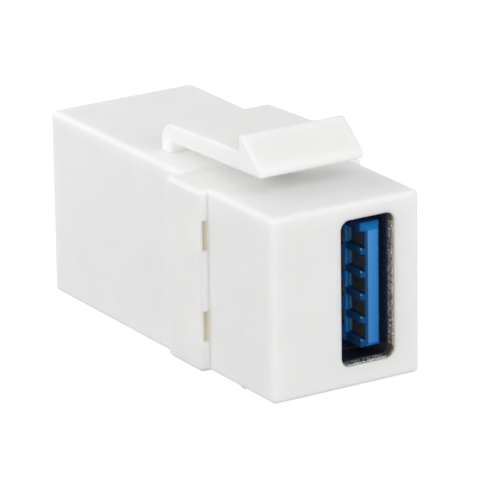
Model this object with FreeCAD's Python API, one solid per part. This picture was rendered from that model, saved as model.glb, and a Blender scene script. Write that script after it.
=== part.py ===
"""Keystone jack: a snap-in coupler with the same blue-tongued data port at its face and at its back.

Millimetres, +Z up, the face looks along -Y. The pieces are drawn from the face's bottom edge
and moved at the end, so that the origin lies under the middle of the jack.
"""
import FreeCAD, Part
import math
import os

V = FreeCAD.Vector

# Port opening and its stamped shell
port_width = 5.12
port_height = 12.5
shell_sheet = 0.25
shell_corner = 0.8
shell_setback = 0.15
shell_cutback = 0.75
mouth_flare = 0.1
mouth_flare_depth = 0.6

# Spring fingers of the shell
finger_width = 2.2
finger_slit = 0.3
finger_spacing = 6.0
finger_root = 9.6
finger_crown = 4.4
finger_tip = 3.0
finger_reach = 0.42
finger_lift = 0.1

# Shell legs
leg_width = 1.4
leg_setback = 6.0
leg_spacing = 7.0
leg_point = 0.35

# Blue insulator
tongue_thickness = 1.84
tongue_far_gap = 0.66
tongue_end_gap = 0.8
tongue_setback = 0.31
tongue_bevel = 0.44
tongue_bevel_depth = 0.5
body_setback = 11.8
body_length = 1.9

# Flat pad contacts and their pockets in the tongue
pad_pitch = 2.0
pad_width = 1.15
pad_sheet = 0.2
pocket_side_gap = 0.15
pocket_depth = 0.5
pocket_setback = 0.2
pocket_length = 2.55
pad_dive = 0.74

# Sprung contacts and their grooves in the tongue
spring_inner = 1.0
spring_outer = 3.5
spring_width = 1.0
spring_sheet = 0.25
spring_sink = 0.3
spring_crown = 0.42
spring_crown_setback = 4.6
spring_rise_length = 3.2
spring_tip_length = 0.85
groove_wall = 0.35
groove_depth = 0.75
contact_bend = 0.3

# Tails of the contacts
tail_width = 0.5
tail_out = 0.8
tail_point = 0.3
spring_row_setback = 0.75
pad_row_setback = 1.35
bay_room = 0.9
spacer_height = 1.3

# Circuit board
board_thickness = 1.2
board_setback = 2.0
hole_room = 0.08

# Housing walls and the room round the ports
face_width = 14.5
side_wall = 1.05
roof_wall = 0.88
floor_wall = 1.62
end_wall = 1.5
port_side_room = 1.5
port_roof_room = 0.3
back_gap = 2.55
edge_radius = 0.45
window_bevel = 0.08
lap_left = 0.45
lap_top = 0.28
guide_width = 0.6
guide_height = 0.8
guide_end_room = 0.2

# Seam between the two mouldings
seam_gap = 0.08
seam_bevel = 0.12
rear_rise = 0.32
rear_drop = 0.21

# Side stops that meet the panel, and the panel that they take
stop_setback = 10.04
stop_length = 5.36
stop_lap = 0.6
stop_proud = 0.91
stop_bevel = 0.35
panel_thickness = 1.54

# Snap tongues of the rear housing and their slots in the side stops
snap_spacing = 8.0
snap_height = 2.5
snap_thickness = 0.75
snap_sink = 0.65
snap_root = 1.0
snap_reach = 0.8
snap_land = 0.65
snap_ramp = 1.4
snap_tip = 0.2
snap_room = 0.1
snap_end_room = 0.15
slot_neck = 0.8

# Latch arm on the rear housing
latch_width = 10.3
arm_length = 10.93
riser_thickness = 1.48
riser_radius = 1.4
arm_gap = 1.0
arm_root_thickness = 1.47
arm_rise = 0.43
catch_height = 1.42
catch_base = 1.62
tip_flat = 0.55
tip_length = 3.4
nose_height = 0.78
nose_radius = 0.9
latch_radius = 0.3
latch_bevel = 0.2
crook_radius = 0.6

# Bottom hook
hook_width = 10.6
hook_depth = 1.37
hook_tip = 0.65
hook_ramp = 1.35
hook_radius = 0.2
hook_bevel = 0.12

# Clearances
fit_gap = 0.05
contact_gap = 0.03
root_overlap = 0.4

# Places that follow from the sizes above
shell_height = port_height + 2 * shell_sheet
shell_width = port_width + 2 * shell_sheet
cavity_height = shell_height + 2 * port_roof_room
face_height = floor_wall + cavity_height + roof_wall
half_width = face_width / 2
face_middle = face_height / 2
port_z = floor_wall + cavity_height / 2
shell_bottom = port_z - shell_height / 2
shell_top = port_z + shell_height / 2
cavity_right = half_width - side_wall
shell_right = cavity_right - port_side_room
shell_left = shell_right - shell_width
port_x = (shell_left + shell_right) / 2
board_right = shell_left - fit_gap
board_left = board_right - board_thickness
tongue_right = shell_right - shell_sheet - tongue_far_gap
tongue_left = tongue_right - tongue_thickness
tongue_half = port_height / 2 - tongue_end_gap

mouth = shell_setback
lap_back = mouth + shell_cutback
tongue_front = mouth + tongue_setback
body_front = mouth + body_setback
body_back = body_front + body_length
spring_row = body_back + spring_row_setback
pad_row = spring_row + pad_row_setback
shell_back = pad_row + bay_room
total_length = 2 * shell_back + back_gap
tail_end = board_left - tail_out
spacer_top = shell_left + spacer_height
shoulder = spacer_top + fit_gap

catch_y = stop_setback - panel_thickness
front_length = stop_setback + stop_length - stop_lap
rear_top = face_height + rear_rise
rear_bottom = -rear_drop
far = 2 * total_length

pad_places = [step * pad_pitch for step in (-2, -1, 0, 1, 2)]
spring_places = [-spring_outer, -spring_inner, spring_inner, spring_outer]
pad_names = ["receive_minus", "receive_plus", "drain", "transmit_minus", "transmit_plus"]
spring_names = ["vbus", "data_minus", "data_plus", "ground"]

# Each plane: its two drawing directions and the direction that a prism grows in
PLANES = {
    "XY": (V(1, 0, 0), V(0, 1, 0), V(0, 0, 1)),
    "YZ": (V(0, 1, 0), V(0, 0, 1), V(1, 0, 0)),
    "XZ": (V(1, 0, 0), V(0, 0, 1), V(0, 1, 0)),
}


def box(x0, x1, y0, y1, z0, z1):
    return Part.makeBox(x1 - x0, y1 - y0, z1 - z0, V(x0, y0, z0))


def rounded_wire(corners, plane, level):
    """Closed wire through (u, v, radius) corners on a plane at the given level."""
    along_u, along_v, normal = PLANES[plane]
    points = [along_u * u + along_v * v + normal * level for u, v, radius in corners]
    turns = []
    for i, here in enumerate(points):
        radius = corners[i][2]
        back = (points[i - 1] - here).normalize()
        ahead = (points[(i + 1) % len(points)] - here).normalize()
        if radius <= 0:
            turns.append((here, None, here))
            continue
        half = back.getAngle(ahead) / 2
        reach = radius / math.tan(half)
        middle = here + (back + ahead).normalize() * (radius / math.sin(half) - radius)
        turns.append((here + back * reach, middle, here + ahead * reach))
    edges = []
    for i, (start, middle, end) in enumerate(turns):
        if middle is not None:
            edges.append(Part.Arc(start, middle, end).toShape())
        next_start = turns[(i + 1) % len(turns)][0]
        if (next_start - end).Length > 1e-6:
            edges.append(Part.LineSegment(end, next_start).toShape())
    return Part.Wire(edges)


def prism(corners, plane, start, stop):
    face = Part.Face(rounded_wire(corners, plane, start))
    solid = face.extrude(PLANES[plane][2] * (stop - start))
    if solid.Volume < 0:
        solid.reverse()
    return solid


def ribbon(path, sheet):
    """Outline corners of a strip that follows a path of (u, v, bend radius) points."""
    points = [V(u, v, 0) for u, v, bend in path]
    runs = [(b - a).normalize() for a, b in zip(points, points[1:])]
    sides = [V(-run.y, run.x, 0) for run in runs]
    left = []
    right = []
    for i, here in enumerate(points):
        before = sides[max(i - 1, 0)]
        after = sides[min(i, len(sides) - 1)]
        offset = (before + after) * (sheet / 2 / (1 + before.dot(after)))
        turn = before.cross(after).z
        bend = path[i][2]
        inner = bend - sheet / 2
        outer = bend + sheet / 2 if bend else 0
        left.append((here.x + offset.x, here.y + offset.y, inner if turn > 0 else outer))
        right.append((here.x - offset.x, here.y - offset.y, outer if turn > 0 else inner))
    return left + right[::-1]


def round_edges(shape, radius, wanted):
    """Fillets the edges whose bounding box passes the test."""
    return shape.makeFillet(radius, [edge for edge in shape.Edges if wanted(edge.BoundBox)])


def bevel_edges(shape, size, wanted):
    """Chamfers the edges whose bounding box passes the test."""
    return shape.makeChamfer(size, [edge for edge in shape.Edges if wanted(edge.BoundBox)])


def lies_at(low, high, place):
    return abs(low - place) < 1e-4 and abs(high - place) < 1e-4


def port_section(grow, radius):
    """Rounded rectangle round the port opening, grown on every side."""
    x0 = port_x - port_width / 2 - grow
    x1 = port_x + port_width / 2 + grow
    z0 = port_z - port_height / 2 - grow
    z1 = port_z + port_height / 2 + grow
    return [(x0, z0, radius), (x1, z0, radius), (x1, z1, radius), (x0, z1, radius)]


def turned(shape):
    """The same piece at the other end of the board, facing the rear."""
    copy = shape.copy()
    copy.rotate(V(0, total_length / 2, port_z), V(1, 0, 0), 180)
    return copy


def mirrored_pairs(solid):
    """A solid and its images on the other side and at the other height."""
    across = solid.mirror(V(0, 0, 0), V(1, 0, 0))
    over = solid.mirror(V(0, 0, face_middle), V(0, 0, 1))
    both = across.mirror(V(0, 0, face_middle), V(0, 0, 1))
    return [solid, across, over, both]


def finger(plane, wall, inward, low, high):
    """Slit window and bent finger in one shell wall, from the wall's middle plane inwards."""
    run = [
        (mouth + finger_root + root_overlap, wall, 0),
        (mouth + finger_root, wall, 0),
        (mouth + finger_crown, wall + inward * finger_reach, contact_bend),
        (mouth + finger_tip, wall + inward * finger_lift, 0),
    ]
    if plane == "XY":
        run = [(v, u, bend) for u, v, bend in run]
    strip = prism(ribbon(run, shell_sheet), plane, low, high)
    window_y = (mouth + finger_tip - finger_slit, mouth + finger_root)
    window_wall = (wall - shell_sheet, wall + shell_sheet)
    if plane == "XY":
        window = box(*window_wall, *window_y, low - finger_slit, high + finger_slit)
    else:
        window = box(low - finger_slit, high + finger_slit, *window_y, *window_wall)
    return strip, window


def window_section(grow):
    """Rounded rectangle of the port window, whose left and top edges lap over the shell."""
    x0 = shell_left + lap_left - grow
    x1 = shell_right + grow
    z0 = shell_bottom - grow
    z1 = shell_top - lap_top + grow
    corner = shell_corner + grow
    return [(x0, z0, corner), (x1, z0, corner), (x1, z1, corner), (x0, z1, corner)]


def cut_back_lapped_walls(tube):
    """Shortens the shell's left and top walls; the right and bottom ones reach the face in the window."""
    lip = tube.common(prism(window_section(0), "XZ", mouth, lap_back))
    lip = lip.cut(box(-far, shell_right - shell_corner, -far, far, shell_bottom + shell_corner, far))
    return tube.cut(box(-far, far, -far, lap_back, -far, far)).fuse(lip).removeSplitter()


def make_shell():
    tube = prism(port_section(shell_sheet, shell_corner), "XZ", mouth, shell_back)
    inner_corner = shell_corner - shell_sheet
    tube = tube.cut(prism(port_section(0, inner_corner), "XZ", mouth, shell_back - shell_sheet))
    flare_mouth = rounded_wire(port_section(mouth_flare, inner_corner + mouth_flare), "XZ", mouth)
    flare_throat = rounded_wire(port_section(0, inner_corner), "XZ", mouth + mouth_flare_depth)
    tube = tube.cut(Part.makeLoft([flare_mouth, flare_throat], True, True))
    tube = cut_back_lapped_walls(tube)
    bay_floor = shell_left + shell_corner
    tube = tube.cut(box(-far, bay_floor, body_back, far, -far, far))
    half = finger_width / 2
    walls_x = [(shell_right - shell_sheet / 2, -1), (shell_left + shell_sheet / 2, 1)]
    walls_z = [(shell_top - shell_sheet / 2, -1), (shell_bottom + shell_sheet / 2, 1)]
    fingers = [finger("YZ", wall, inward, port_x - half, port_x + half) for wall, inward in walls_z]
    for wall, inward in walls_x:
        for side in (-1, 1):
            middle = port_z + side * finger_spacing / 2
            fingers.append(finger("XY", wall, inward, middle - half, middle + half))
    legs = []
    for leg_y in leg_places():
        leg = [
            (shell_left + shell_corner + root_overlap, leg_y - leg_width / 2, 0),
            (tail_end + leg_point, leg_y - leg_width / 2, 0),
            (tail_end, leg_y - leg_width / 2 + leg_point, 0),
            (tail_end, leg_y + leg_width / 2 - leg_point, 0),
            (tail_end + leg_point, leg_y + leg_width / 2, 0),
            (shell_left + shell_corner + root_overlap, leg_y + leg_width / 2, 0),
        ]
        legs.append(prism(leg, "XY", shell_bottom, shell_bottom + shell_sheet))
        legs.append(prism(leg, "XY", shell_top - shell_sheet, shell_top))
    shell = tube.cut([window for strip, window in fingers])
    return shell.fuse([strip for strip, window in fingers] + legs).removeSplitter()


def leg_places():
    first = mouth + leg_setback
    return [first, first + leg_spacing]


def pad_path(end):
    floor = tongue_left + pocket_depth - pad_sheet / 2
    deep = floor + pad_dive
    front = tongue_front + pocket_setback + contact_gap
    step = tongue_front + pocket_setback + pocket_length
    return [
        (floor, front, 0),
        (floor, step, 0),
        (deep, step + pad_dive, 0),
        (deep, pad_row, contact_bend),
        (end, pad_row, 0),
    ]


def spring_path(end):
    rest = tongue_left + spring_sink
    crown = tongue_left - spring_crown
    crown_y = mouth + spring_crown_setback
    tip = tongue_left + spring_sink
    return [
        (tip, crown_y - spring_tip_length, 0),
        (crown, crown_y, contact_bend),
        (rest, crown_y + spring_rise_length, 0),
        (rest, spring_row, contact_bend),
        (end, spring_row, 0),
    ]


def tail(row, sheet, z):
    """Narrow pointed end of a contact, from its shoulder through the board."""
    outline = [
        (shoulder + root_overlap, row - sheet / 2, 0),
        (tail_end + tail_point, row - sheet / 2, 0),
        (tail_end, row - sheet / 4, 0),
        (tail_end, row + sheet / 4, 0),
        (tail_end + tail_point, row + sheet / 2, 0),
        (shoulder + root_overlap, row + sheet / 2, 0),
    ]
    return prism(outline, "XY", z - tail_width / 2, z + tail_width / 2)


def make_contact(path, sheet, width, row, place):
    z = port_z + place
    strip = prism(ribbon(path(shoulder), sheet), "XY", z - width / 2, z + width / 2)
    return strip.fuse(tail(row, sheet, z)).removeSplitter()


def contact_channel(path, sheet, width, place):
    """Room for a contact inside the insulator."""
    z = port_z + place
    half = width / 2 + contact_gap
    return prism(ribbon(path(shoulder), sheet + 2 * contact_gap), "XY", z - half, z + half)


def make_insulator():
    bevel_end = tongue_front + tongue_bevel_depth
    root = body_front + root_overlap
    across = [
        (tongue_left, root, 0),
        (tongue_left, bevel_end, 0),
        (tongue_left + tongue_bevel, tongue_front, 0),
        (tongue_right - tongue_bevel, tongue_front, 0),
        (tongue_right, bevel_end, 0),
        (tongue_right, root, 0),
    ]
    low = port_z - tongue_half
    high = port_z + tongue_half
    along = [
        (root, low, 0),
        (root, high, 0),
        (bevel_end, high, 0),
        (tongue_front, high - tongue_bevel, 0),
        (tongue_front, low + tongue_bevel, 0),
        (bevel_end, low, 0),
    ]
    tongue = prism(across, "XY", low, high).common(prism(along, "YZ", tongue_left, tongue_right))
    body_corner = shell_corner - shell_sheet
    body = prism(port_section(-fit_gap, body_corner), "XZ", body_front, body_back)
    room = []
    pocket_front = tongue_front + pocket_setback
    pocket_half = pad_width / 2 + pocket_side_gap
    for place in pad_places:
        z = port_z + place
        room.append(box(-far, tongue_left + pocket_depth, pocket_front, pocket_front + pocket_length,
                        z - pocket_half, z + pocket_half))
        room.append(contact_channel(pad_path, pad_sheet, pad_width, place))
    groove_front = pocket_front + pocket_length + groove_wall
    groove_half = spring_width / 2 + pocket_side_gap
    groove_back = mouth + spring_crown_setback + spring_rise_length
    for place in spring_places:
        z = port_z + place
        room.append(box(-far, tongue_left + groove_depth, groove_front, groove_back,
                        z - groove_half, z + groove_half))
        room.append(contact_channel(spring_path, spring_sheet, spring_width, place))
    return body.fuse(tongue).removeSplitter().cut(room)


def make_spacer():
    """Comb that keeps the tails of one port in line, lying on the board in the shell's bay."""
    half = port_height / 2 - 2 * fit_gap
    plate = box(shell_left, spacer_top, body_back + 2 * fit_gap,
                shell_back - shell_sheet - 2 * fit_gap, port_z - half, port_z + half)
    holes = []
    for row, sheet, places in tail_rows():
        for place in places:
            z = port_z + place
            reach = sheet / 2 + hole_room
            side = tail_width / 2 + hole_room
            holes.append(box(-far, far, row - reach, row + reach, z - side, z + side))
    return plate.cut(holes)


def tail_rows():
    return [(spring_row, spring_sheet, spring_places), (pad_row, pad_sheet, pad_places)]


def make_board():
    half = cavity_height / 2 - fit_gap
    low = port_z - half
    high = port_z + half
    board = box(board_left, board_right, mouth + board_setback, total_length - mouth - board_setback, low, high)
    cuts = []
    for row, sheet, places in tail_rows():
        radius = math.hypot(sheet, tail_width) / 2 + hole_room
        for place in places:
            cuts.append(Part.makeCylinder(radius, board_thickness, V(board_left, row, port_z + place), V(1, 0, 0)))
    notch = port_height / 2 - fit_gap
    for leg_y in leg_places():
        reach = leg_width / 2 + fit_gap
        cuts.append(box(-far, far, leg_y - reach, leg_y + reach, -far, port_z - notch))
        cuts.append(box(-far, far, leg_y - reach, leg_y + reach, port_z + notch, far))
    return board.cut(cuts + [turned(cut) for cut in cuts])


def cavity(y0, y1):
    half = cavity_height / 2
    return box(-cavity_right, cavity_right, y0, y1, port_z - half, port_z + half)


def board_guides():
    """Ribs on the floor and the roof that hold the board against the shells."""
    first, second = leg_places()
    margin = leg_width / 2 + guide_end_room
    right = board_left - fit_gap
    low = port_z - cavity_height / 2
    rib = box(right - guide_width, right, first + margin, second - margin, low - root_overlap, low + guide_height)
    return [rib, rib.mirror(V(0, 0, port_z), V(0, 0, 1))]


def port_window():
    """Window in an end wall, and behind its laps the wider bore for the whole shell."""
    window = prism(window_section(fit_gap), "XZ", -root_overlap, lap_back)
    bore = prism(port_section(shell_sheet + fit_gap, shell_corner + fit_gap), "XZ",
                 lap_back - fit_gap, end_wall + root_overlap)
    return window.fuse(bore)


def soft_window_rim(body, face_y):
    """Bevels the edge that the port window makes with a face of the housing."""
    z0 = shell_bottom - 2 * fit_gap

    def on_rim(bound):
        return lies_at(bound.YMin, bound.YMax, face_y) and bound.ZMin > z0 and bound.XMin > shell_left
    return bevel_edges(body, window_bevel, on_rim)


def snap_middle():
    return face_middle + snap_spacing / 2


def snap_front():
    return stop_setback + slot_neck + snap_end_room


def snap_seat():
    """Where the catch face of a snap tongue meets its ledge."""
    return snap_front() + snap_tip + snap_ramp + snap_land


def make_stop():
    """One side stop, still solid, level with the top of the face block."""
    outer = half_width + stop_proud
    inner = half_width - 2 * root_overlap
    back = stop_setback + stop_length
    outline = [
        (inner, stop_setback, 0),
        (outer, stop_setback, edge_radius),
        (outer, back, edge_radius),
        (inner, back, 0),
    ]
    stop = prism(outline, "XY", 0, face_height)

    def at_end(bound):
        level = lies_at(bound.ZMin, bound.ZMax, 0) or lies_at(bound.ZMin, bound.ZMax, face_height)
        return level and not lies_at(bound.XMin, bound.XMax, inner)
    return bevel_edges(stop, stop_bevel, at_end)


def snap_room_cuts():
    """Groove, ledge pocket and slot that one snap tongue needs in the front body."""
    half = snap_height / 2 + snap_room
    low = snap_middle() - half
    high = snap_middle() + half
    groove_floor = cavity_right + snap_sink + fit_gap
    slot_outer = cavity_right + snap_sink + snap_reach + snap_end_room
    pocket_front = snap_front() - snap_end_room
    groove = box(cavity_right - root_overlap, groove_floor, pocket_front, far, low, high)
    pocket = box(cavity_right, slot_outer, pocket_front, snap_seat() + fit_gap, low, high)
    slot = box(half_width, slot_outer, stop_setback - root_overlap, pocket_front + root_overlap, low, high)
    return groove.fuse([pocket, slot])


def make_hook():
    """Fixed bottom hook, ramped at its front, upright where it meets the panel."""
    outline = [
        (catch_y, root_overlap, 0),
        (catch_y, -hook_depth, hook_radius),
        (catch_y - hook_tip, -hook_depth, hook_radius),
        (catch_y - hook_tip - hook_ramp, 0, 0),
        (catch_y - hook_tip - hook_ramp, root_overlap, 0),
    ]
    hook = prism(outline, "YZ", -hook_width / 2, hook_width / 2)
    return bevel_side_edges(hook, hook_width / 2, hook_bevel, root_overlap)


def bevel_side_edges(solid, half, size, skip_z):
    """Bevels the outline of both end faces, apart from what lies at one height."""
    def wanted(bound):
        at_end = lies_at(bound.XMin, bound.XMax, half) or lies_at(bound.XMin, bound.XMax, -half)
        return at_end and not lies_at(bound.ZMin, bound.ZMax, skip_z)
    return bevel_edges(solid, size, wanted)


def make_front_body():
    block = box(-half_width, half_width, 0, front_length - seam_gap, 0, face_height)
    block = round_edges(block, edge_radius, lambda bound: bound.YMin < edge_radius)
    stop = make_stop()
    body = block.fuse([stop, stop.mirror(V(0, 0, 0), V(1, 0, 0)), make_hook()])
    lap = half_width + fit_gap
    body = body.cut([
        cavity(end_wall, far),
        box(-lap, lap, front_length - seam_gap, far, -far, far),
        port_window(),
    ] + mirrored_pairs(snap_room_cuts()))
    body = body.fuse(board_guides()).removeSplitter()
    return soft_window_rim(body, 0)


def make_latch():
    """Latch arm: a riser, an arm that rises and thickens towards its tip, and a ramped catch."""
    foot = rear_top - root_overlap
    under_root = rear_top + arm_gap
    under_tip = under_root + arm_rise
    top_root = under_root + arm_root_thickness
    nose_y = catch_y - tip_length
    catch_floor = under_tip + catch_base
    tip_top = catch_floor + catch_height
    riser_front = catch_y + arm_length
    riser_back = riser_front + riser_thickness
    outline = [
        (riser_back, foot, 0),
        (riser_back, top_root, riser_radius),
        (catch_y, catch_floor, latch_radius),
        (catch_y, tip_top, latch_radius),
        (catch_y - tip_flat, tip_top, latch_radius),
        (nose_y, under_tip + nose_height, nose_radius),
        (nose_y, under_tip, latch_radius),
        (riser_front, under_root, crook_radius),
        (riser_front, foot, 0),
    ]
    latch = prism(outline, "YZ", -latch_width / 2, latch_width / 2)
    return bevel_side_edges(latch, latch_width / 2, latch_bevel, foot)


def make_snap_tongue():
    """One snap tongue: a flat arm with a ramped hook on its outer face."""
    outer = cavity_right + snap_sink
    inner = outer - snap_thickness
    tip_y = snap_front()
    seat = snap_seat()
    outline = [
        (inner, front_length + snap_root, 0),
        (inner, tip_y, 0),
        (outer, tip_y, 0),
        (outer, tip_y + snap_tip, 0),
        (outer + snap_reach, seat - snap_land, 0),
        (outer + snap_reach, seat, 0),
        (outer, seat, 0),
        (outer, front_length + snap_root, 0),
    ]
    return prism(outline, "XY", snap_middle() - snap_height / 2, snap_middle() + snap_height / 2)


def make_rear_housing():
    block = box(-half_width, half_width, front_length, total_length, rear_bottom, rear_top)
    block = round_edges(block, edge_radius, lambda bound: bound.YMax > front_length + edge_radius)
    block = bevel_edges(block, seam_bevel, lambda bound: lies_at(bound.YMin, bound.YMax, front_length))
    housing = block.fuse(make_latch())
    housing = housing.cut([cavity(-far, total_length - end_wall), turned(port_window())])
    added = mirrored_pairs(make_snap_tongue()) + [turned(guide) for guide in board_guides()]
    housing = housing.fuse(added).removeSplitter()
    return soft_window_rim(housing, total_length)


def make_port():
    """The pieces of one port, by name, as they stand behind the face."""
    pieces = {
        "shell": make_shell(),
        "insulator": make_insulator(),
        "tail_spacer": make_spacer(),
    }
    for name, place in zip(spring_names, spring_places):
        pieces[name + "_contact"] = make_contact(spring_path, spring_sheet, spring_width, spring_row, place)
    for name, place in zip(pad_names, pad_places):
        pieces[name + "_contact"] = make_contact(pad_path, pad_sheet, pad_width, pad_row, place)
    return pieces


def main():
    nodes = {
        "front_body": make_front_body(),
        "rear_housing": make_rear_housing(),
        "circuit_board": make_board(),
    }
    for name, piece in make_port().items():
        nodes["front_" + name] = piece
        nodes["rear_" + name] = turned(piece)
    os.makedirs("parts", exist_ok=True)
    for name, shape in nodes.items():
        shape.translate(V(0, -total_length / 2, hook_depth))
        shape.exportStep("parts/" + name + ".step")
        print(name, "solids", len(shape.Solids), "valid", shape.isValid(), "volume", round(shape.Volume, 3))


main()
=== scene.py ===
# %% [markdown]
# This lesson dresses a white snap-in jack with an upright, blue-tongued data port at each end.
# Its construction is done already: every piece comes in as a mesh at its real size, in metres,
# and stays where it is. What is left is the studio, the finish of each surface and the small
# things that only show up close.

# %% Load the construction
import math

import bmesh
import bpy
from mathutils import Matrix, Vector


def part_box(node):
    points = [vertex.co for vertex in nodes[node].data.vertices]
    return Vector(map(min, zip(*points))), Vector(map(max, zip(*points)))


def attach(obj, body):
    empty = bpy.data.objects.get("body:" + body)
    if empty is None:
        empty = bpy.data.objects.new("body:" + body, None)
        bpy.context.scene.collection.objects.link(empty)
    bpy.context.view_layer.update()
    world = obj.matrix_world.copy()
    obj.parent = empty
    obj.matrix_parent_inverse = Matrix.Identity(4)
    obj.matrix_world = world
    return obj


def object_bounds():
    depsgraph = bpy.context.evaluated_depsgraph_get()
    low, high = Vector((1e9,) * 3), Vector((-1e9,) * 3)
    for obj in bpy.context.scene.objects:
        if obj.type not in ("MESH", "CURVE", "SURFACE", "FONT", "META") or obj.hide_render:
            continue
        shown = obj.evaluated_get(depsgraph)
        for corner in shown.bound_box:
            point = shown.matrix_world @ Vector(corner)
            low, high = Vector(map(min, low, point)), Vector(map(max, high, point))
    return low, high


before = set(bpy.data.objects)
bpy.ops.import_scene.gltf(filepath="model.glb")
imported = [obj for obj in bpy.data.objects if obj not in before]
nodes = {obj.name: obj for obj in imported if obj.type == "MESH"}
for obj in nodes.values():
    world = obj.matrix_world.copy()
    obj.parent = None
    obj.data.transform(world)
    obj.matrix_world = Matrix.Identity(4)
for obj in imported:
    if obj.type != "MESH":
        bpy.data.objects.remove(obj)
cad_low, cad_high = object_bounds()
MM = 0.001
print("pieces", len(nodes), "box in mm", [round(x / MM, 2) for x in cad_high - cad_low])

# %% [markdown]
# The camera stands in front of the face, about a third of the way round to the left side and a little
# above the top, as a photographer with a long lens would. A long lens keeps parallel edges almost
# parallel. A tracking constraint could aim the camera, but it can't give the small roll. So the camera's
# three axes are worked out from its azimuth, elevation and roll, and set as a matrix.

# %% Camera
AZIMUTH = math.radians(-31.66)
ELEVATION = math.radians(18.50)
ROLL = math.radians(-0.90)
LENS_MM = 363.4
CAMERA_DISTANCE = 403.3 * MM
CLIP_RANGE = 20
AIM_RIGHT = -8.97 * MM
AIM_UP = 12.39 * MM
FACE_LIFT = 1.37 * MM


def camera_axes():
    """Right, up and backward directions of the camera."""
    back = Vector((
        math.sin(AZIMUTH) * math.cos(ELEVATION),
        -math.cos(AZIMUTH) * math.cos(ELEVATION),
        math.sin(ELEVATION),
    ))
    level = Vector((math.cos(AZIMUTH), math.sin(AZIMUTH), 0))
    upright = back.cross(level)
    right = level * math.cos(ROLL) + upright * math.sin(ROLL)
    return right, back.cross(right), back


def make_camera():
    """Camera that is aimed from the foot of the face, which is a little above the hook's lowest edge."""
    right, up, back = camera_axes()
    face_foot = Vector((0, cad_low.y, FACE_LIFT))
    place = face_foot + right * AIM_RIGHT + up * AIM_UP + back * CAMERA_DISTANCE
    camera = bpy.data.objects.new("camera", bpy.data.cameras.new("camera"))
    camera.data.lens = LENS_MM
    camera.data.clip_start = CAMERA_DISTANCE / CLIP_RANGE
    camera.data.clip_end = CAMERA_DISTANCE * CLIP_RANGE
    turn = Matrix((right, up, back)).transposed().to_4x4()
    camera.matrix_world = Matrix.Translation(place) @ turn
    bpy.context.scene.collection.objects.link(camera)
    bpy.context.scene.camera = camera
    return camera


camera = make_camera()
print("camera at mm", [round(x / MM, 1) for x in camera.matrix_world.translation])

# %% [markdown]
# White things on white need soft light from all round. A photographer puts them in a tent of white cloth,
# and a plain white world does the same here. The backdrop is pure white to the camera alone, because as a
# light it would wash out every edge. A Light Path node tells what the camera sees from what gives light.

# %% Light tent
WHITE = (1, 1, 1, 1)
TENT_STRENGTH = 0.52


def make_tent():
    world = bpy.data.worlds.new("light_tent")
    bpy.context.scene.world = world
    world.use_nodes = True
    tree = world.node_tree
    light = tree.nodes["Background"]
    light.inputs["Color"].default_value = WHITE
    light.inputs["Strength"].default_value = TENT_STRENGTH
    backdrop = tree.nodes.new("ShaderNodeBackground")
    backdrop.inputs["Color"].default_value = WHITE
    seen = tree.nodes.new("ShaderNodeLightPath")
    either = tree.nodes.new("ShaderNodeMixShader")
    tree.links.new(seen.outputs["Is Camera Ray"], either.inputs[0])
    tree.links.new(light.outputs[0], either.inputs[1])
    tree.links.new(backdrop.outputs[0], either.inputs[2])
    tree.links.new(either.outputs[0], tree.nodes["World Output"].inputs["Surface"])


make_tent()
bpy.context.scene.view_settings.view_transform = "Standard"
print("tent strength", TENT_STRENGTH)

# %% [markdown]
# The tent alone would look flat, so soft panels lift one side each: the left side, the corner, the face,
# the top, the far side and the slope behind the latch. Point lamps could do it, but only a light with a
# large face gives soft shades. A panel's azimuth counts from straight in front of the face to the right.

# %% Soft panels
PANELS = {
    "left_panel": {"azimuth": -104, "elevation": 12, "distance": 0.5, "size": 0.30, "power": 0.52},
    "corner_panel": {"azimuth": -60, "elevation": 17, "distance": 0.5, "size": 0.18, "power": 0.22},
    "front_panel": {"azimuth": 14, "elevation": 10, "distance": 0.5, "size": 0.40, "power": 0.50},
    "key_panel": {"azimuth": 5, "elevation": 45, "distance": 0.5, "size": 0.36, "power": 0.60},
    "far_panel": {"azimuth": 125, "elevation": -16, "distance": 0.5, "size": 0.20, "power": 0.50},
    "rear_panel": {"azimuth": -138, "elevation": 42, "distance": 0.10, "size": 0.08, "power": 0.02},
}


def make_panel(name, azimuth, elevation, distance, size, power):
    """One square light panel that faces the middle of the object."""
    a = math.radians(azimuth)
    e = math.radians(elevation)
    away = Vector((math.sin(a) * math.cos(e), -math.cos(a) * math.cos(e), math.sin(e)))
    light = bpy.data.lights.new(name, "AREA")
    light.size = size
    light.energy = power
    lamp = bpy.data.objects.new(name, light)
    lamp.location = (cad_low + cad_high) / 2 + away * distance
    lamp.rotation_euler = away.to_track_quat("Z", "Y").to_euler()
    bpy.context.scene.collection.objects.link(lamp)


for name, values in PANELS.items():
    make_panel(name, **values)
print("panels", len(PANELS))

# %% [markdown]
# The floor is a plain sheet of white paper. A real one would throw light up at the white walls and shade
# their feet, and both would hide how white the plastic is. So only the camera sees this one, and it
# glows just enough to meet the backdrop without a seam. It is part of the stage, not of the jack.

# %% Paper floor
FLOOR_HALF = 2.0
PAPER_TONE = (0.2, 0.2, 0.2, 1)
PAPER_GLOW = 0.92
PAPER_ROUGHNESS = 0.9
PAPER_GLOSS = 0.1


def floor_paper():
    paper = bpy.data.materials.new("floor_paper")
    paper.use_nodes = True
    shader = paper.node_tree.nodes["Principled BSDF"]
    shader.inputs["Base Color"].default_value = PAPER_TONE
    shader.inputs["Roughness"].default_value = PAPER_ROUGHNESS
    shader.inputs["Specular IOR Level"].default_value = PAPER_GLOSS
    shader.inputs["Emission Color"].default_value = WHITE
    shader.inputs["Emission Strength"].default_value = PAPER_GLOW
    paper.cycles.emission_sampling = "NONE"
    return paper


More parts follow.
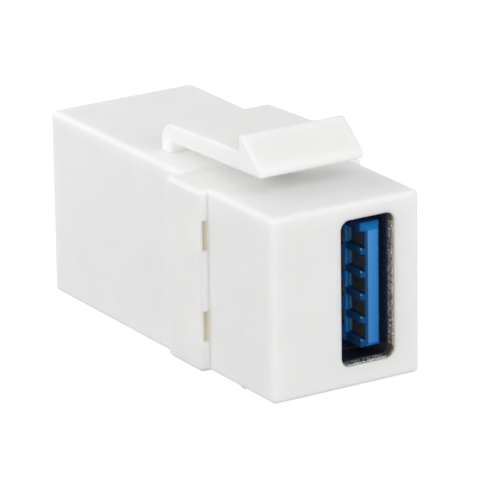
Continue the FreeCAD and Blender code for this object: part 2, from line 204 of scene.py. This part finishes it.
def make_floor():
    mesh = bpy.data.meshes.new("floor")
    signs = ((-1, -1), (1, -1), (1, 1), (-1, 1))
    corners = [(x * FLOOR_HALF, y * FLOOR_HALF, 0) for x, y in signs]
    mesh.from_pydata(corners, [], [(0, 1, 2, 3)])
    mesh.materials.append(floor_paper())
    floor = bpy.data.objects.new("floor", mesh)
    bpy.context.scene.collection.objects.link(floor)
    floor.visible_diffuse = False
    floor.visible_glossy = False
    floor.visible_transmission = False
    floor.visible_shadow = False
    return floor


floor = make_floor()
print("floor width in m", 2 * FLOOR_HALF)

# %% [markdown]
# Every finish below is a small node tree. Pictures wrapped round the pieces could give the same looks,
# but they need a UV map for each piece. Noise on Object coordinates needs none, and it stays in place
# when the camera moves. The helpers read the place on a piece in millimetres, so that a noise scale of
# 10 means features of about a tenth of a millimetre, whatever the piece.

# %% Helpers for place and noise
def new_finish(name):
    finish = bpy.data.materials.new(name)
    finish.use_nodes = True
    tree = finish.node_tree
    return finish, tree, tree.nodes["Principled BSDF"]


def millimetres(tree, stretch=(1, 1, 1)):
    """Place on the piece in millimetres, stretched along its axes if asked."""
    where = tree.nodes.new("ShaderNodeTexCoord")
    scaled = tree.nodes.new("ShaderNodeMapping")
    scaled.inputs["Scale"].default_value = [s / MM for s in stretch]
    tree.links.new(where.outputs["Object"], scaled.inputs["Vector"])
    return scaled.outputs["Vector"]


def axes_of(tree, place):
    """A place as three outputs, X, Y and Z."""
    node = tree.nodes.new("ShaderNodeSeparateXYZ")
    tree.links.new(place, node.inputs["Vector"])
    return node.outputs


def noise(tree, place, scale, detail=2.0, rough=0.5):
    node = tree.nodes.new("ShaderNodeTexNoise")
    node.inputs["Scale"].default_value = scale
    node.inputs["Detail"].default_value = detail
    node.inputs["Roughness"].default_value = rough
    tree.links.new(place, node.inputs["Vector"])
    return node.outputs["Fac"]


print("a noise scale counts features per", MM, "m")

# %% [markdown]
# A noise value becomes a finish in three ways: it is mapped onto a range, such as a roughness, it picks a
# colour between a dark and a light tone, or it lifts the surface as a bump. No moulded or stamped edge is
# truly sharp, so the bump sits on a Bevel node, which shades each edge as if it were rounded. Cutting the
# roundings as faces could do it too, and would multiply the faces of every piece.

# %% Helpers for values, tones and bump
NOISE_LOW = 0.3
NOISE_HIGH = 0.7
EDGE_SAMPLES = 6


def between(tree, value, low, high, start=NOISE_LOW, stop=NOISE_HIGH):
    """Maps a value onto a range; most of a noise lies between the usual start and stop."""
    node = tree.nodes.new("ShaderNodeMapRange")
    node.inputs["From Min"].default_value = start
    node.inputs["From Max"].default_value = stop
    node.inputs["To Min"].default_value = low
    node.inputs["To Max"].default_value = high
    tree.links.new(value, node.inputs["Value"])
    return node.outputs["Result"]


def two_tone(tree, value, dark, light, start=NOISE_LOW, stop=NOISE_HIGH):
    """Colour that goes from dark to light with a value."""
    node = tree.nodes.new("ShaderNodeValToRGB")
    node.color_ramp.elements[0].position = start
    node.color_ramp.elements[0].color = (*dark, 1)
    node.color_ramp.elements[1].position = stop
    node.color_ramp.elements[1].color = (*light, 1)
    tree.links.new(value, node.inputs["Fac"])
    return node.outputs["Color"]


def emboss(tree, shader, height, depth, edge):
    """Bump of a real depth on a surface whose sharp edges shade as if rounded, both in metres."""
    soft = tree.nodes.new("ShaderNodeBevel")
    soft.samples = EDGE_SAMPLES
    soft.inputs["Radius"].default_value = edge
    bump = tree.nodes.new("ShaderNodeBump")
    bump.inputs["Distance"].default_value = depth
    tree.links.new(height, bump.inputs["Height"])
    tree.links.new(soft.outputs["Normal"], bump.inputs["Normal"])
    tree.links.new(bump.outputs["Normal"], shader.inputs["Normal"])


def dress(finish, names):
    for name in names:
        mesh = nodes[name].data
        mesh.materials.clear()
        mesh.materials.append(finish)


print("pieces to dress", len(nodes))

# %% [markdown]
# Some tones belong to one place on a piece: a slot, a tip, a corner. Splitting the piece into faces with
# materials of their own would need faces that end just there. A mask is simpler: a number from 0 to 1,
# worked out from the place by Math nodes, that says how much of a tone a spot gets. Below, each mask has
# a pair of values in millimetres: a start and a stop for a fade, or a middle and half a width for near.

# %% Helpers for masks
def arithmetic(tree, operation, a, b=0.0, c=0.0):
    """One Math node; each operand is a number or an output of another node."""
    node = tree.nodes.new("ShaderNodeMath")
    node.operation = operation
    for socket, operand in zip(node.inputs, (a, b, c)):
        if isinstance(operand, (int, float)):
            socket.default_value = operand
        else:
            tree.links.new(operand, socket)
    return node.outputs[0]


def fade(tree, value, start, stop):
    """Share that goes from 0 at the start to 1 at the stop."""
    return between(tree, value, 0, 1, start, stop)


def near(tree, value, middle, half):
    """1 where a value lies within half a width of a middle, 0 elsewhere."""
    return arithmetic(tree, "COMPARE", value, middle, half)


def away_from(tree, value, middle):
    """How far a value lies from a middle, to either side."""
    return arithmetic(tree, "ABSOLUTE", arithmetic(tree, "SUBTRACT", value, middle))


def all_of(tree, first, *others):
    """Product of several shares, so that all of them have to hold."""
    product = first
    for share in others:
        product = arithmetic(tree, "MULTIPLY", product, share)
    return product


shell_low, shell_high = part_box("front_shell")
PORT_MIDDLE = (shell_low.z + shell_high.z) / 2 / MM
print("middle of the ports in mm above the foot", round(PORT_MIDDLE, 3))

# %% [markdown]
# The narrow gaps under the latch arm and the four slots of the side stops lie in deep shade. A painted
# glow
# lifts it: soft and white in the gaps, yellowish in the slots, standing in for light that wanders through
# the white plastic. More bounces of light would bring some of this, slowly and with noise. Here an
# Ambient
# Occlusion node measures the share of sky that nearby walls hide, and the painted glow grows with it.

# %% Slots and gaps of the housing
SLOT_SIDE = (7.52, 0.34)
SLOT_DEPTH = (-6.1, 1.95)
SLOT_HEIGHT = (4.0, 1.38)
SLOT_MIDDLE = 9.42
# Painted glow: the slots and gaps glow faintly to lift their shade, standing in for light through the
# plastic.
PAINTED_SLOT_GLOW = 0.07
PAINTED_SLOT_TINT = (1.0, 0.82, 0.35)
GAP_REACH = 3.0 * MM
PAINTED_GAP_GLOW = 0.13
GAP_SIDE = (0.5, 2.5)
GAP_START = (-10.5, -8.5)
SKY_SAMPLES = 8


def inside_slots(tree, axes):
    """1 within the four slots of the side stops, 0 elsewhere."""
    side = near(tree, arithmetic(tree, "ABSOLUTE", axes["X"]), *SLOT_SIDE)
    depth = near(tree, axes["Y"], *SLOT_DEPTH)
    height = near(tree, away_from(tree, axes["Z"], SLOT_MIDDLE), *SLOT_HEIGHT)
    return all_of(tree, side, depth, height)


def inside_gaps(tree, axes):
    """Share of the sky that nearby walls hide, in the gaps that are open to a side."""
    open_sky = tree.nodes.new("ShaderNodeAmbientOcclusion")
    open_sky.samples = SKY_SAMPLES
    open_sky.inputs["Distance"].default_value = GAP_REACH
    hidden = arithmetic(tree, "SUBTRACT", 1.0, open_sky.outputs["AO"])
    side = fade(tree, arithmetic(tree, "ABSOLUTE", axes["X"]), *GAP_SIDE)
    behind = fade(tree, axes["Y"], *GAP_START)
    return all_of(tree, side, behind, hidden)


def painted_glow_in_gaps(tree, shader, axes):
    """Weak painted glow that lifts the shade: yellowish in the slots, white in the gaps, none elsewhere.
    """
    slot = inside_slots(tree, axes)
    gap = arithmetic(tree, "MULTIPLY", inside_gaps(tree, axes), PAINTED_GAP_GLOW)
    tint = two_tone(tree, slot, WHITE[:3], PAINTED_SLOT_TINT, 0, 1)
    tree.links.new(tint, shader.inputs["Emission Color"])
    change = arithmetic(tree, "SUBTRACT", PAINTED_SLOT_GLOW, gap)
    glow = arithmetic(tree, "MULTIPLY_ADD", slot, change, gap)
    tree.links.new(glow, shader.inputs["Emission Strength"])


print("slot height in mm", 2 * SLOT_HEIGHT[1])

# %% [markdown]
# The housing is moulded in a white plastic with a satin skin. The mould was spark eroded, so the skin has
# a very fine grain, and thick and thin walls cool at their own pace, so the gloss is cloudy over a few
# millimetres. A plain white shader would look like chalk. Subsurface scattering lets the light wander,
# which softens the edges. It reaches less far in the thin side stops, or they would look lit from within.

# %% Moulded white
WHITE_TONES = ((0.890, 0.888, 0.878), (0.912, 0.910, 0.902))
WHITE_CLOUD = 0.35
CLOUD_DETAIL = 3
WHITE_ROUGHNESS = (0.48, 0.60)
WHITE_GRAIN = 9
WHITE_GRAIN_DEPTH = 0.0012 * MM
WHITE_EDGE = 0.25 * MM
WHITE_IOR = 1.5
WHITE_GLOSS = 0.3
WANDER_SHARE = 1.0
WANDER_BY_COLOUR = (0.92, 0.90, 0.88)
THICK_REACH = 1.0 * MM
THIN_REACH = 0.3 * MM
STOP_SIDE = (7.25, 7.45)


def moulded_white():
    finish, tree, shader = new_finish("moulded_white")
    place = millimetres(tree)
    axes = axes_of(tree, place)
    cloud = noise(tree, place, WHITE_CLOUD, CLOUD_DETAIL)
    tree.links.new(two_tone(tree, cloud, *WHITE_TONES), shader.inputs["Base Color"])
    tree.links.new(between(tree, cloud, *WHITE_ROUGHNESS), shader.inputs["Roughness"])
    emboss(tree, shader, noise(tree, place, WHITE_GRAIN), WHITE_GRAIN_DEPTH, WHITE_EDGE)
    # Painted glow in the gaps and slots.
    painted_glow_in_gaps(tree, shader, axes)
    shader.inputs["IOR"].default_value = WHITE_IOR
    shader.inputs["Specular IOR Level"].default_value = WHITE_GLOSS
    shader.inputs["Subsurface Weight"].default_value = WANDER_SHARE
    shader.inputs["Subsurface Radius"].default_value = WANDER_BY_COLOUR
    side = arithmetic(tree, "ABSOLUTE", axes["X"])
    reach = between(tree, side, THICK_REACH, THIN_REACH, *STOP_SIDE)
    tree.links.new(reach, shader.inputs["Subsurface Scale"])
    return finish


housing = ["front_body", "rear_housing"]
dress(moulded_white(), housing)
print("white pieces", len(housing))

# %% [markdown]
# The tongue of a port stands in a dark metal box, so each part of it gets its own share of light, and
# that light is painted into its blue. Its front is painted brightest at the top and on the left, where
# the window lets most light in, and a small highlight is painted on the upper corner of each rib's cap.
# Painted pictures could show this. Masks from the sizes of the tongue do it for both ports at once,
# because depth counts from the middle of the jack to either end.

# %% Shades of the tongue
FRONT_UPWARD = (3.5, 15.1)
FRONT_LEFTWARD = (3.4, 2.4)
FRONT_SHARE = 0.5
# Painted shade and painted light of the tongue's front.
FRONT_SHADED = (0.015, 0.166, 0.495)
FRONT_LIT = (0.073, 0.309, 0.720)
RIB_PITCH = 2.0
# Painted highlight: a small pale glint on the upper corner of each rib's cap.
GLINT_SIDE = (2.00, 0.07)
GLINT_DEPTH = (17.21, 0.06)
GLINT_HEIGHT = (1.20, 0.07)
GLINT_TOP = 4.5


def painted_tongue_front(tree, axes):
    """Blue of the tongue's front with its light painted in, half of it from above and half from the left.
    """
    from_above = between(tree, axes["Z"], 0, FRONT_SHARE, *FRONT_UPWARD)
    from_left = between(tree, axes["X"], 0, 1 - FRONT_SHARE, *FRONT_LEFTWARD)
    lit = arithmetic(tree, "ADD", from_above, from_left)
    return two_tone(tree, lit, FRONT_SHADED, FRONT_LIT, 0, 1)


def painted_glint_caps(tree, axes, depth, height):
    """1 on the upper corner of each rib's cap, where a highlight is painted, 0 elsewhere."""
    within_pitch = arithmetic(tree, "WRAP", height, RIB_PITCH, 0.0)
    return all_of(
        tree,
        near(tree, axes["X"], *GLINT_SIDE),
        near(tree, depth, *GLINT_DEPTH),
        near(tree, within_pitch, *GLINT_HEIGHT),
        arithmetic(tree, "LESS_THAN", height, GLINT_TOP),
    )


def blend_tones(tree, share, first, second):
    """Colour that goes from the first output to the second with a share from 0 to 1."""
    node = tree.nodes.new("ShaderNodeMix")
    node.data_type = "RGBA"
    tree.links.new(share, node.inputs["Factor"])
    tree.links.new(first, node.inputs["A"])
    tree.links.new(second, node.inputs["B"])
    return node.outputs["Result"]


print("rib pitch in mm", RIB_PITCH)

# %% [markdown]
# The insulators are moulded in a strong blue, with a smoother skin than the housing. Light and shade are
# painted into that blue by place: darker at the root of the tongue, along its side and at its top end,
# where little light reaches, and brighter at the tip. The back walls of the pockets are painted lighter,
# for the light that the polished pads throw on them. A single colour would leave all this to many bounces
# of light. The painted tones give it at once, and hold in every view.

# %% Moulded blue
PORTS = ("front", "rear")
BLUES_WITH_PAINTED_LIGHT = {
    "root": ((0.016, 0.072, 0.21), (0.022, 0.092, 0.26)),
    "side": ((0.005, 0.080, 0.27), (0.006, 0.096, 0.31)),
    "back": ((0.034, 0.255, 0.78), (0.042, 0.300, 0.88)),
    "end": ((0.004, 0.165, 0.49), (0.006, 0.185, 0.54)),
    # painted highlight on the rib caps
    "painted_glint": ((0.13, 0.36, 0.68), (0.20, 0.45, 0.78)),
}
TONGUE_FRONT = (2.36, 2.44)
TONGUE_END = (4.82, 4.88)
TONGUE_TIP = (16.90, 17.16)
POCKET_BACK = (15.05, 14.95)
BLUE_CLOUD = 0.8
BLUE_ROUGHNESS = (0.24, 0.34)
BLUE_GRAIN = 12
BLUE_GRAIN_DEPTH = 0.001 * MM
BLUE_EDGE = 0.05 * MM
BLUE_GLOSS = 0.12


def moulded_blue():
    finish, tree, shader = new_finish("moulded_blue")
    place = millimetres(tree)
    axes = axes_of(tree, place)
    cloud = noise(tree, place, BLUE_CLOUD, CLOUD_DETAIL)
    blue = {name: two_tone(tree, cloud, *tones) for name, tones in BLUES_WITH_PAINTED_LIGHT.items()}
    depth = arithmetic(tree, "ABSOLUTE", axes["Y"])
    height = arithmetic(tree, "SUBTRACT", axes["Z"], PORT_MIDDLE)
    front = painted_tongue_front(tree, axes)
    painted_glint = painted_glint_caps(tree, axes, depth, height)
    # Painted shade at the root, along the side and at the top end; painted light on the backs of the
    # pockets.
    tone = blend_tones(tree, fade(tree, axes["X"], *TONGUE_FRONT), blue["side"], front)
    tone = blend_tones(tree, fade(tree, height, *TONGUE_END), tone, blue["end"])
    tone = blend_tones(tree, fade(tree, depth, *TONGUE_TIP), blue["root"], tone)
    tone = blend_tones(tree, fade(tree, depth, *POCKET_BACK), tone, blue["back"])
    # The painted highlight on the rib caps goes on last.
    tone = blend_tones(tree, painted_glint, tone, blue["painted_glint"])
    tree.links.new(tone, shader.inputs["Base Color"])
    tree.links.new(between(tree, cloud, *BLUE_ROUGHNESS), shader.inputs["Roughness"])
    emboss(tree, shader, noise(tree, place, BLUE_GRAIN), BLUE_GRAIN_DEPTH, BLUE_EDGE)
    shader.inputs["Specular IOR Level"].default_value = BLUE_GLOSS
    return finish


insulators = [f"{port}_insulator" for port in PORTS]
insulators += [f"{port}_tail_spacer" for port in PORTS]
dress(moulded_blue(), insulators)
print("blue pieces", len(insulators))

# %% [markdown]
# The shells are bent from plated sheet. Rolling leaves faint lines along the strip, so the noise is
# stretched along the port, and the plating is cloudy over a millimetre or so. Deep in the port the sheet
# mirrors the blue tongue and the dark gaps, so its own colour is a dull warm grey. The upper and lower
# ends hardly see any light, so painted shade makes them duller still, and a narrow band where the flare
# starts has a painted highlight for the light of the window. A finish of one colour would need a lamp
# inside the port to show as much.

# %% Plated shell
SHELL_CLEAN = ((0.50, 0.46, 0.44), (0.58, 0.54, 0.52))
SHELL_PAINTED_HIGHLIGHT = ((0.70, 0.76, 0.88), (0.78, 0.84, 0.95))
SHELL_PAINTED_SHADE = ((0.15, 0.14, 0.15), (0.18, 0.17, 0.18))
SHELL_ENDS = (5.9, 6.2)
SHELL_INNER = (17.45, 17.3)
SHELL_FLARE = (17.47, 0.1)
SHELL_CLOUD = 1.2
SHELL_LINES = 14
SHELL_STRETCH = (1, 0.06, 1)
SHELL_ROUGHNESS = (0.26, 0.32)
SHELL_LINE_DEPTH = 0.001 * MM
SHELL_EDGE = 0.03 * MM
SHELL_METAL = 0.95


def plated_shell():
    finish, tree, shader = new_finish("plated_shell")
    place = millimetres(tree)
    axes = axes_of(tree, place)
    lines = noise(tree, millimetres(tree, SHELL_STRETCH), SHELL_LINES)
    cloud = noise(tree, place, SHELL_CLOUD)
    clean = two_tone(tree, cloud, *SHELL_CLEAN)
    shell_highlight = two_tone(tree, cloud, *SHELL_PAINTED_HIGHLIGHT)
    shell_shade = two_tone(tree, cloud, *SHELL_PAINTED_SHADE)
    depth = arithmetic(tree, "ABSOLUTE", axes["Y"])
    ends = fade(tree, away_from(tree, axes["Z"], PORT_MIDDLE), *SHELL_ENDS)
    inner = fade(tree, depth, *SHELL_INNER)
    # Painted highlight on the flare band, then painted shade at the upper and lower ends deep inside.
    tone = blend_tones(tree, near(tree, depth, *SHELL_FLARE), clean, shell_highlight)
    tone = blend_tones(tree, all_of(tree, ends, inner), tone, shell_shade)
    tree.links.new(tone, shader.inputs["Base Color"])
    tree.links.new(between(tree, lines, *SHELL_ROUGHNESS), shader.inputs["Roughness"])
    emboss(tree, shader, lines, SHELL_LINE_DEPTH, SHELL_EDGE)
    shader.inputs["Metallic"].default_value = SHELL_METAL
    return finish


shells = [f"{port}_shell" for port in PORTS]
dress(plated_shell(), shells)
print("shells", len(shells))

# %% [markdown]
# The mouth of each shell was coined to a lead-in after the sheet was sheared. The crushed metal has a
# coarse grain that sparkles, because each small facet faces its own way. A bump would stay dull at the
# edge, so the grain is real here: a thin skin lies on the lip. This cell lays out its path, from the
# upper corner down the wall and along the floor, in millimetres.

# %% Path of the coined lip
SHEET = 0.25
PORT_WIDTH = 5.12
MOUTH_CORNER = 0.55
MOUTH_RIGHT = shell_high.x / MM - SHEET
MOUTH_FLOOR = shell_low.z / MM + SHEET
MOUTH_TOP = shell_high.z / MM - SHEET
LIP_STEP = 0.055
LEAST_STEPS = 2
LIP_START = math.radians(50)
LIP_END_ROOM = 0.52


def steps(start, stop):
    """Evenly spaced values from start to just before stop, about one lip step apart."""
    count = max(LEAST_STEPS, round(abs(stop - start) / LIP_STEP))
    return [start + (stop - start) * k / count for k in range(count)]


def corner_steps(x, z, start, stop):
    """Places round a corner of the mouth, each with its outward direction."""
    places = []
    for along in steps(start * MOUTH_CORNER, stop * MOUTH_CORNER):
        nx = math.cos(along / MOUTH_CORNER)
        nz = math.sin(along / MOUTH_CORNER)
        places.append((x + MOUTH_CORNER * nx, z + MOUTH_CORNER * nz, nx, nz))
    return places


def lip_path():
    """Places along the inner wall of the mouth, each with its outward direction."""
    x = MOUTH_RIGHT - MOUTH_CORNER
    above = MOUTH_TOP - MOUTH_CORNER
    below = MOUTH_FLOOR + MOUTH_CORNER
    left = MOUTH_RIGHT - PORT_WIDTH + LIP_END_ROOM
    path = corner_steps(x, above, LIP_START, 0)
    path += [(MOUTH_RIGHT, z, 1, 0) for z in steps(above, below)]
    path += corner_steps(x, below, 0, -math.pi / 2)
    path += [(along, MOUTH_FLOOR, 0, -1) for along in steps(x, left)]
    return path


print("places on the lip", len(lip_path()))

# %% [markdown]
# In section the skin covers what shows of the lip: the flare and the cut edge of the sheet. A flat strip
# would do for one view, but a closed shape has no back that could show. So the section runs down the
# flare, over the edge and back inside the sheet, where its root is hidden.

# %% Section of the coined lip
FLARE = 0.1
FLARE_DEPTH = 0.6
LIP_DEPTH = 0.44
LIP_SKIN = 0.012
LIP_ROOT = 0.04


def flare_at(depth):
    """How far the flare stands outside the straight wall at a depth behind the mouth."""
    return FLARE * (1 - depth / FLARE_DEPTH)


def lip_section():
    """Outward and backward offsets from the wall and the mouth, in order round the skin."""
    flare = [(flare_at(depth) - LIP_SKIN, depth) for depth in steps(LIP_DEPTH, 0)]
    edge = [(out, -LIP_SKIN) for out in steps(FLARE - LIP_SKIN, SHEET - LIP_SKIN)]
    inside = [
        (SHEET - LIP_SKIN, 0),
        (SHEET - LIP_ROOT, LIP_ROOT),
        (FLARE + LIP_ROOT, LIP_ROOT),
        (flare_at(LIP_DEPTH) + LIP_ROOT, LIP_DEPTH),
    ]
    return flare + edge + inside


print("points in the section", len(lip_section()))

# %% [markdown]
# A curve with a bevel object could sweep the section along the path, but the curve's resolution would
# then set where the points lie. Built point by point, all facets come out about the same size. The skin
# is a closed sleeve: one ring of section points for each place on the path, quads between the rings and
# a cap at either end. The rear port is the front one turned over, so it gets a copy with depth and height
# mirrored together, which is a half turn.

# %% Skin of the lips
def sleeve_faces(rings, ring):
    """Two end caps, then the quads between neighbouring rings of points."""
    count = rings * ring
    faces = [tuple(range(ring)), tuple(range(count - 1, count - ring - 1, -1))]
    for row in range(rings - 1):
        a = row * ring
        b = a + ring
        faces += [(a + k, a + (k + 1) % ring, b + (k + 1) % ring, b + k) for k in range(ring)]
    return faces


def lip_skin():
    path = lip_path()
    section = lip_section()
    mouth = shell_low.y / MM
    points = [
        Vector((x + nx * out, mouth + back, z + nz * out)) * MM
        for x, z, nx, nz in path for out, back in section
    ]
    twice_middle = shell_low.z + shell_high.z
    turned = [Vector((v.x, -v.y, twice_middle - v.z)) for v in points]
    faces = sleeve_faces(len(path), len(section))
    faces += [tuple(len(points) + k for k in face) for face in faces]
    mesh = bpy.data.meshes.new("coined_lips")
    mesh.from_pydata(points + turned, [], faces)
    form = bmesh.new()
    form.from_mesh(mesh)
    bmesh.ops.recalc_face_normals(form, faces=form.faces)
    form.to_mesh(mesh)
    form.free()
    return mesh


skin = lip_skin()
print("skin points", len(skin.vertices), "faces", len(skin.polygons))

# %% [markdown]
# Coining crushes the plating, and a golden tarnish settles in the crushed spots. On the wall the spots
# are brown and the rest is pale gold. On the floor the spots are dark and the rest is bright silver,
# which is partly painted light for the front light that falls on the floor lip. In the tight corners the
# tone is dark almost everywhere. Three materials could show it, split by face, but the tones have to fade
# into each other where the wall bends, so they are blended by place. One noise drives colour and
# roughness together, and what is clean also shines most.

# %% Finish of the lips
# Each has a dark tone, a light tone, and the noise values where the dark ends and the light begins.
COINED_WALL = ((0.16, 0.11, 0.05), (0.84, 0.73, 0.52), 0.40, 0.60)
# The floor's bright silver is partly painted light, for the front light on the floor lip.
COINED_FLOOR_WITH_PAINTED_LIGHT = ((0.04, 0.04, 0.045), (0.86, 0.86, 0.83), 0.44, 0.56)
COINED_CORNER = ((0.13, 0.095, 0.035), (0.21, 0.165, 0.075), 0.40, 0.60)
CORNER_REACH = 0.85
CORNER_BLEND = 0.08
COINED_SPOTS = 5
SPOT_DETAIL = 2
SPOT_ROUGH = 0.7
COINED_ROUGHNESS = (0.36, 0.22)
COINED_GRAIN = 22
COINED_GRAIN_DEPTH = 0.002 * MM
COINED_EDGE = 0.01 * MM
COINED_METAL = 0.75


def coined_metal():
    finish, tree, shader = new_finish("coined_metal")
    place = millimetres(tree)
    axes = axes_of(tree, place)
    spots = noise(tree, place, COINED_SPOTS, SPOT_DETAIL, SPOT_ROUGH)
    wall = two_tone(tree, spots, *COINED_WALL)
    floor = two_tone(tree, spots, *COINED_FLOOR_WITH_PAINTED_LIGHT)
    corner = two_tone(tree, spots, *COINED_CORNER)
    corner_side = MOUTH_RIGHT - MOUTH_CORNER
    corner_height = (MOUTH_TOP - MOUTH_FLOOR) / 2 - CORNER_REACH
    height = away_from(tree, axes["Z"], PORT_MIDDLE)
    right = fade(tree, axes["X"], corner_side, corner_side + CORNER_BLEND)
    bent = fade(tree, height, corner_height, corner_height + CORNER_BLEND)
    tone = blend_tones(tree, right, floor, wall)
    tone = blend_tones(tree, all_of(tree, right, bent), tone, corner)
    tree.links.new(tone, shader.inputs["Base Color"])
    tree.links.new(between(tree, spots, *COINED_ROUGHNESS), shader.inputs["Roughness"])
    emboss(tree, shader, noise(tree, place, COINED_GRAIN), COINED_GRAIN_DEPTH, COINED_EDGE)
    shader.inputs["Metallic"].default_value = COINED_METAL
    return finish


lip_finish = coined_metal()
print("lip finish", lip_finish.name, "nodes", len(lip_finish.node_tree.nodes))

# %% [markdown]
# Crushed metal is made of facets that face all ways. Moving points by hand or with Python's own random
# numbers could do it, but a Geometry Nodes tree keeps the size of the grain and its seed as named inputs
# that can be changed later. The tree nudges each point by a random step and leaves the facets flat.

# %% Grain tree
GRAIN_INPUTS = {
    "Geometry": "NodeSocketGeometry",
    "Grain": "NodeSocketFloat",
    "Seed": "NodeSocketInt",
    "Finish": "NodeSocketMaterial",
}


def grain_tree():
    tree = bpy.data.node_groups.new("coined_grain", "GeometryNodeTree")
    for name, kind in GRAIN_INPUTS.items():
        tree.interface.new_socket(name, in_out="INPUT", socket_type=kind)
    tree.interface.new_socket("Geometry", in_out="OUTPUT", socket_type="NodeSocketGeometry")
    given = tree.nodes.new("NodeGroupInput")
    result = tree.nodes.new("NodeGroupOutput")
    chance = tree.nodes.new("FunctionNodeRandomValue")
    chance.data_type = "FLOAT_VECTOR"
    chance.inputs["Min"].default_value = (-1, -1, -1)
    chance.inputs["Max"].default_value = (1, 1, 1)
    scaled = tree.nodes.new("ShaderNodeVectorMath")
    scaled.operation = "SCALE"
    nudge = tree.nodes.new("GeometryNodeSetPosition")
    flat = tree.nodes.new("GeometryNodeSetShadeSmooth")
    flat.inputs["Shade Smooth"].default_value = False
    realize = tree.nodes.new("GeometryNodeRealizeInstances")
    dressed = tree.nodes.new("GeometryNodeSetMaterial")
    link = tree.links.new
    link(given.outputs["Seed"], chance.inputs["Seed"])
    link(chance.outputs["Value"], scaled.inputs[0])
    link(given.outputs["Grain"], scaled.inputs["Scale"])
    link(given.outputs["Geometry"], nudge.inputs["Geometry"])
    link(scaled.outputs["Vector"], nudge.inputs["Offset"])
    link(nudge.outputs["Geometry"], flat.inputs["Geometry"])
    link(flat.outputs["Geometry"], realize.inputs["Geometry"])
    link(realize.outputs["Geometry"], dressed.inputs["Geometry"])
    link(given.outputs["Finish"], dressed.inputs["Material"])
    link(dressed.outputs["Geometry"], result.inputs["Geometry"])
    return tree


coined_grain = grain_tree()
print("grain tree nodes", len(coined_grain.nodes))

# %% [markdown]
# The tree could stay on the piece as a live modifier, but the hand-over wants plain meshes. So the inputs
# are set by their identifiers, the tree runs once, and its result takes the place of the smooth skin.
# Both lips are one piece. It rides on the only body.

# %% Grow the lips
GRAIN = 0.026
GRAIN_SEED = 7


def grown(name, mesh, tree, values):
    """Runs a node tree on a mesh, with its named inputs set, and keeps the result as a plain mesh."""
    piece = bpy.data.objects.new(name, mesh)
    bpy.context.scene.collection.objects.link(piece)
    step = piece.modifiers.new("grow", "NODES")
    step.node_group = tree
    for item in tree.interface.items_tree:
        if item.in_out == "INPUT" and item.name in values:
            step[item.identifier] = values[item.name]
    bpy.context.view_layer.update()
    view = bpy.context.evaluated_depsgraph_get()
    plain = bpy.data.meshes.new_from_object(piece.evaluated_get(view))
    piece.modifiers.clear()
    piece.data = plain
    plain.name = name
    return piece


grain_values = {"Grain": GRAIN * MM, "Seed": GRAIN_SEED, "Finish": lip_finish}
lips = grown("coined_lips", skin, coined_grain, grain_values)
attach(lips, "root")
print("lip faces", len(lips.data.polygons))

# %% [markdown]
# The contacts are spring strip with a thin gold plating, rolled smooth along the strip. The flat pads on
# the floors of the pockets face the light, so their gold is painted pale, and they mirror the blue walls
# round them. The sprung contacts lie deep in their grooves, so theirs is painted a duller, browner tone
# as shade. One recipe with two pairs of colours makes both, a lit and a shaded copy of one gold, and
# stretched noise gives the lines of the rolling.

# %% Gold plated contacts
SPRINGS = ("vbus", "data_minus", "data_plus", "ground")
PADS = ("receive_minus", "receive_plus", "drain", "transmit_minus", "transmit_plus")
LIT_GOLD = ((0.72, 0.66, 0.48), (0.86, 0.79, 0.58))
SHADED_GOLD = ((0.20, 0.17, 0.09), (0.27, 0.23, 0.13))
GOLD_LINES = 20
GOLD_STRETCH = (1, 0.1, 1)
GOLD_ROUGHNESS = (0.12, 0.20)
GOLD_LINE_DEPTH = 0.002 * MM
GOLD_EDGE = 0.02 * MM
GOLD_METAL = 0.95


def gold_plate(name, dark, light):
    finish, tree, shader = new_finish(name)
    lines = noise(tree, millimetres(tree, GOLD_STRETCH), GOLD_LINES)
    tree.links.new(two_tone(tree, lines, dark, light), shader.inputs["Base Color"])
    tree.links.new(between(tree, lines, *GOLD_ROUGHNESS), shader.inputs["Roughness"])
    emboss(tree, shader, lines, GOLD_LINE_DEPTH, GOLD_EDGE)
    shader.inputs["Metallic"].default_value = GOLD_METAL
    return finish


pads = [f"{port}_{pad}_contact" for port in PORTS for pad in PADS]
springs = [f"{port}_{spring}_contact" for port in PORTS for spring in SPRINGS]
# Painted light: the pads get a lit copy of the gold, the springs a shaded copy.
dress(gold_plate("painted_light_gold", *LIT_GOLD), pads)
dress(gold_plate("painted_shade_gold", *SHADED_GOLD), springs)
print("pads", len(pads), "springs", len(springs))

# %% [markdown]
# The board inside joins the two ports. It is a glass-fibre laminate under green solder mask, and the
# glass makes the mask slightly uneven. A woven pattern could be drawn, but the board is hidden in the
# housing, so a soft noise is enough.

# %% Solder-masked laminate
MASK_TONES = ((0.010, 0.075, 0.030), (0.016, 0.105, 0.045))
MASK_CLOUD = 2.0
MASK_ROUGHNESS = (0.25, 0.40)
GLASS_BUMPS = 4
GLASS_DETAIL = 1
GLASS_DEPTH = 0.004 * MM
MASK_EDGE = 0.02 * MM


def green_laminate():
    finish, tree, shader = new_finish("green_laminate")
    place = millimetres(tree)
    cloud = noise(tree, place, MASK_CLOUD)
    tree.links.new(two_tone(tree, cloud, *MASK_TONES), shader.inputs["Base Color"])
    tree.links.new(between(tree, cloud, *MASK_ROUGHNESS), shader.inputs["Roughness"])
    emboss(tree, shader, noise(tree, place, GLASS_BUMPS, GLASS_DETAIL), GLASS_DEPTH, MASK_EDGE)
    return finish


boards = ["circuit_board"]
dress(green_laminate(), boards)
print("boards", len(boards))
